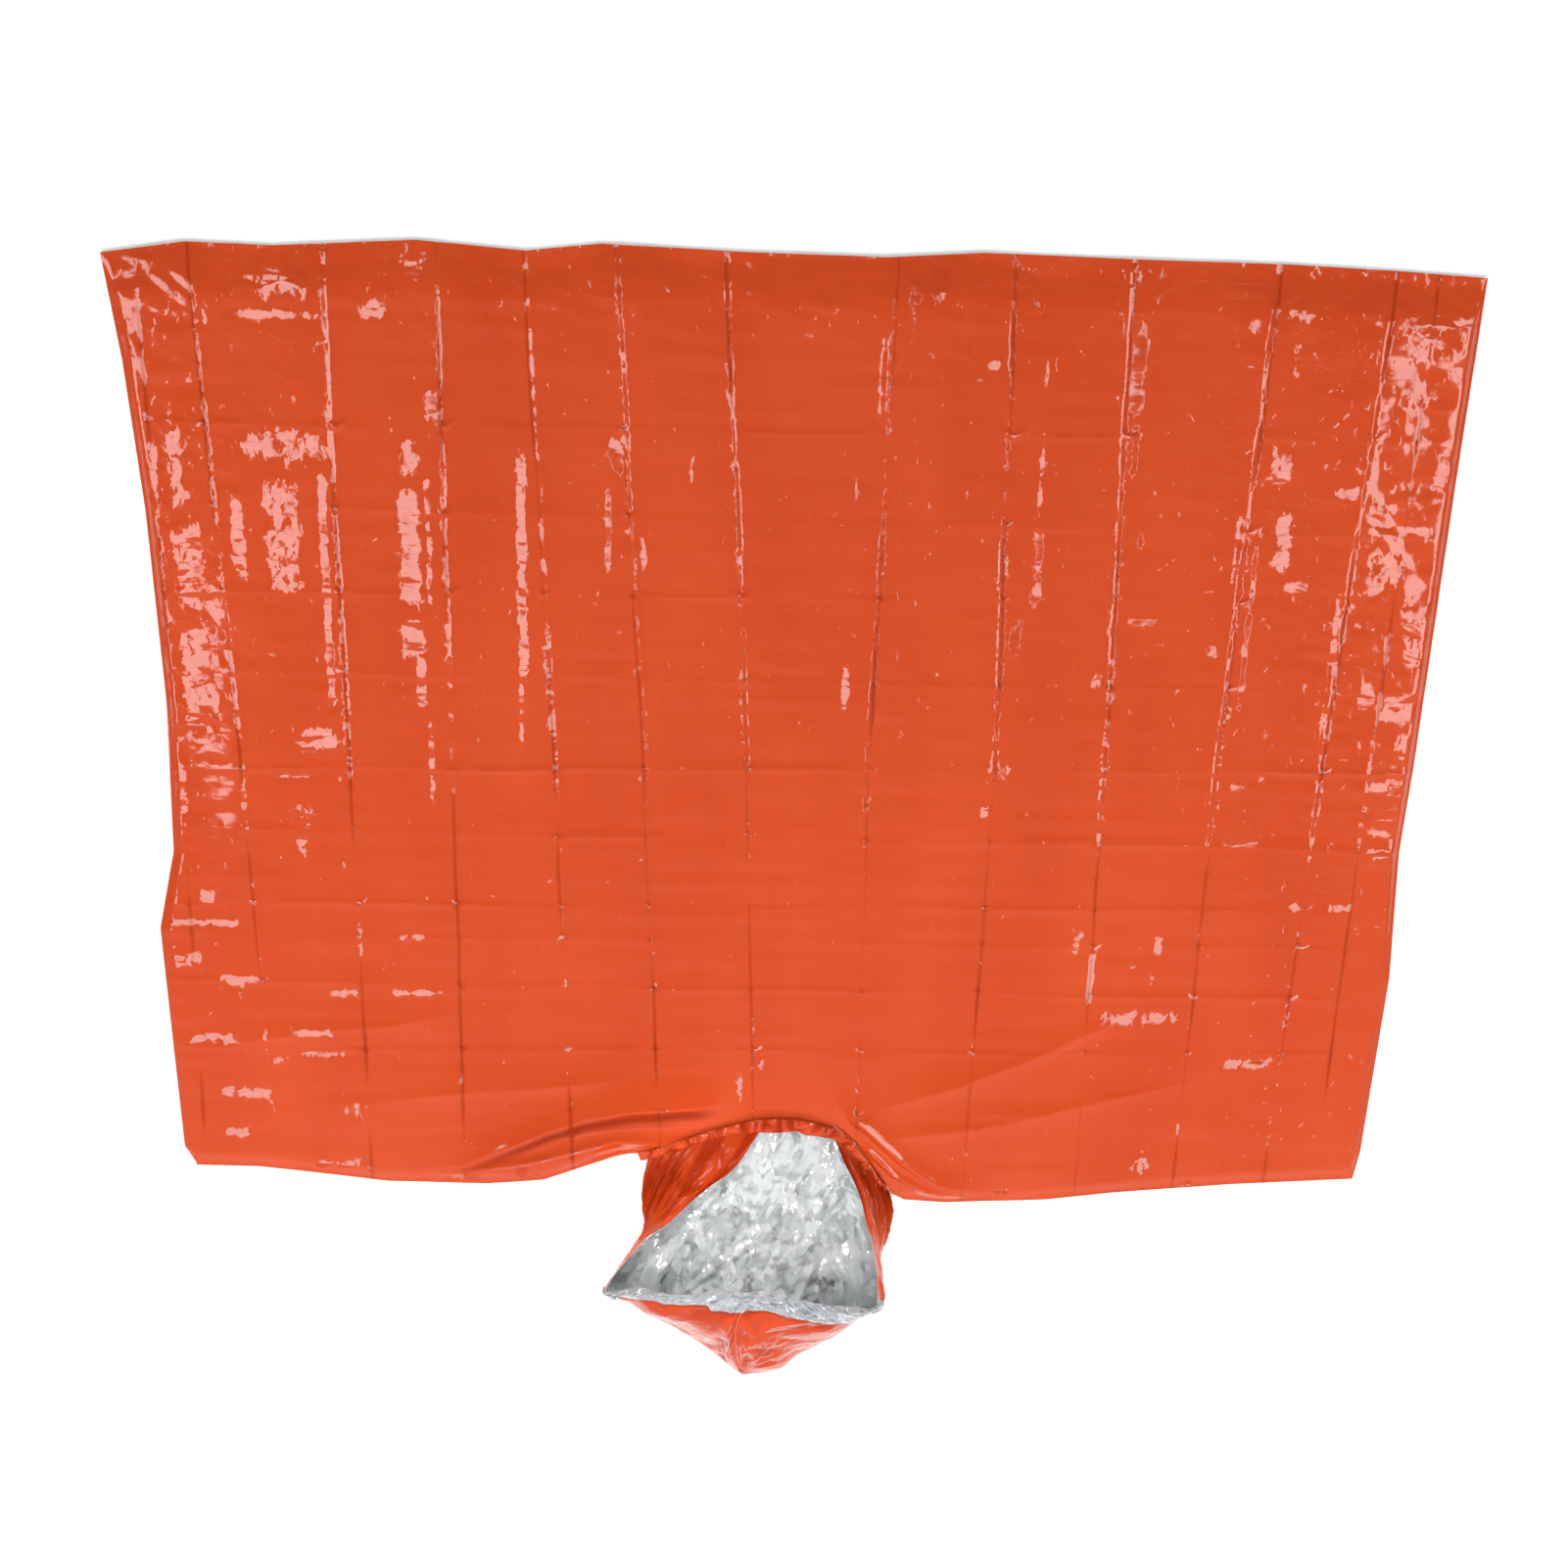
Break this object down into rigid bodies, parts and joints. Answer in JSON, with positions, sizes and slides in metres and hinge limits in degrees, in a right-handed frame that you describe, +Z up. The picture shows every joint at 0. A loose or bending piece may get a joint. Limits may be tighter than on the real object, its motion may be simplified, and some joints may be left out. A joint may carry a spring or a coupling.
{
  "type": "emergency bivy poncho",
  "caption": "Flat-laid emergency bivy sack of orange and silver plastic film, with arm openings, an open hem and an open hood.",
  "frame": {"origin": "on the ground under the middle of the body, where the sack lies", "axes": "+Z up; +Y towards the open hem, the hood at -Y; +X across the sack"},
  "size_m": [1.27, 1.2855, 0.0787],
  "materials": {
    "orange_film": "glossy pigmented polyethylene film, creased",
    "welded_film": "heat-sealed band of the same film",
    "silver_film": "vacuum-metallised face of the same film"
  },
  "bodies": {
    "torso": {"front_panel_middle": "orange_film", "back_panel_middle": "orange_film", "left_shoulder_seal": "welded_film", "right_shoulder_seal": "welded_film", "neck_seal": "welded_film"},
    "left_side": {"front_panel_left": "orange_film", "back_panel_left": "orange_film", "left_side_seal": "welded_film", "left_shoulder_seal_outer": "welded_film"},
    "right_side": {"front_panel_right": "orange_film", "back_panel_right": "orange_film", "right_side_seal": "welded_film", "right_shoulder_seal_outer": "welded_film"},
    "hood": {"hood_left_half": "orange_film", "hood_right_half": "orange_film", "hood_left_cuff": "silver_film", "hood_right_cuff": "silver_film", "hood_centre_seal": "welded_film"}
  },
  "joints": [
    {"name": "left_side_fold", "type": "hinge", "parent": "torso", "child": "left_side", "pos_m": [-0.433, 0, 0.0125], "axis": [0, 1, 0], "range_deg": [0, 177]},
    {"name": "right_side_fold", "type": "hinge", "parent": "torso", "child": "right_side", "pos_m": [0.433, 0, 0.0125], "axis": [0, -1, 0], "range_deg": [0, 177]},
    {"name": "hood_fold", "type": "hinge", "parent": "torso", "child": "hood", "pos_m": [0, -0.512, 0.0135], "axis": [-1, 0, 0], "range_deg": [0, 145]}
  ]
}
